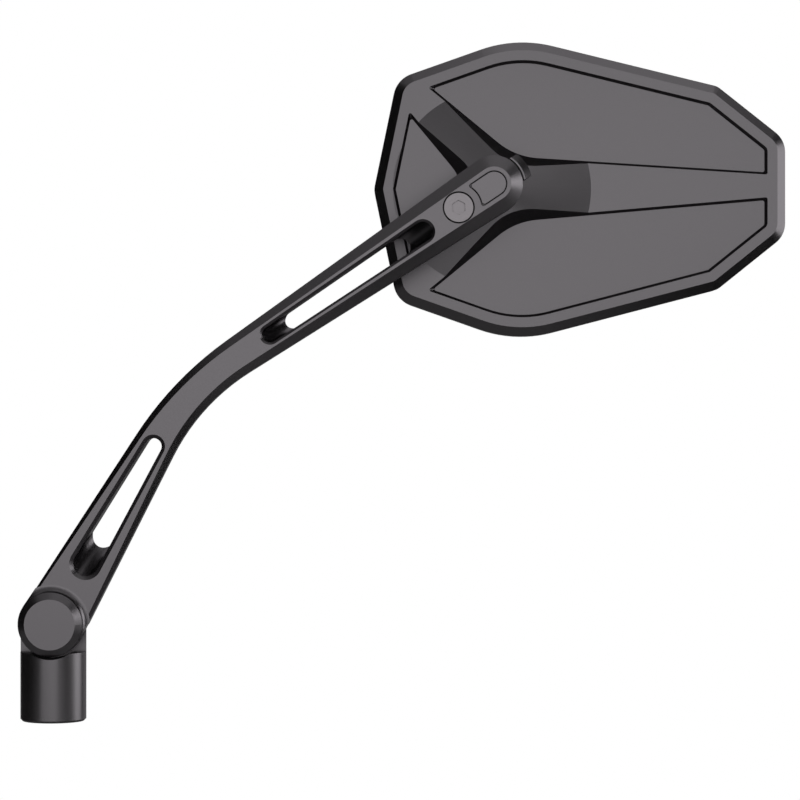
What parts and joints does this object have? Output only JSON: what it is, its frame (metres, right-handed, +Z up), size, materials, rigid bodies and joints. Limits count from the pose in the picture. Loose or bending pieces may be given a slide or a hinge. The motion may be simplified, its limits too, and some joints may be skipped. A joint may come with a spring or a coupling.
{
  "type": "motorcycle mirror",
  "caption": "Handlebar mirror with a threaded base post, a bent slotted arm that swings on the post, and an angular mirror housing that tilts, pans and turns on a ball joint.",
  "frame": {"origin": "centre of the base post's bottom face, where it meets the handlebar fitting", "axes": "+Z up the base post, +X towards the mirror head, +Y towards the rider, which is the side of the glass"},
  "size_m": [0.2414, 0.039, 0.2141],
  "materials": {
    "black_anodised": "satin black anodised, finely blasted",
    "black_steel": "satin black",
    "bright_steel": "zinc plated",
    "nylon": "black, self coloured",
    "foam": "black foam",
    "silvered_glass": "polished, silvered behind"
  },
  "bodies": {
    "base": {"base_post": "black_anodised", "friction_washer": "nylon", "spring_washer": "bright_steel"},
    "arm": {"arm": "black_anodised", "pivot_screw": "black_steel", "end_inlay": "black_anodised", "clamp_plate": "black_anodised", "clamp_screw": "black_steel"},
    "seat": {"ball_seat": "nylon"},
    "stud": {"ball_stud": "bright_steel"},
    "head": {"head_housing": "black_anodised", "stud_washer": "bright_steel", "stud_nut": "bright_steel", "glass_pad": "foam", "mirror_glass": "silvered_glass"}
  },
  "joints": [
    {"name": "arm_swing", "type": "hinge", "parent": "base", "child": "arm", "pos_m": [0, 0, 0.0306], "axis": [0, 1, 0], "range_deg": [-72, 12]},
    {"name": "head_tilt", "type": "hinge", "parent": "arm", "child": "seat", "pos_m": [0.1375, 0.0008, 0.1672], "axis": [1, 0, 0], "range_deg": [-10, 10]},
    {"name": "head_pan", "type": "hinge", "parent": "seat", "child": "stud", "pos_m": [0.1375, 0.0008, 0.1672], "axis": [0, 0, 1], "range_deg": [-10, 10]},
    {"name": "head_turn", "type": "hinge", "parent": "stud", "child": "head", "pos_m": [0.1375, 0.0008, 0.1672], "axis": [0, 1, 0], "range_deg": [-25, 25]}
  ]
}
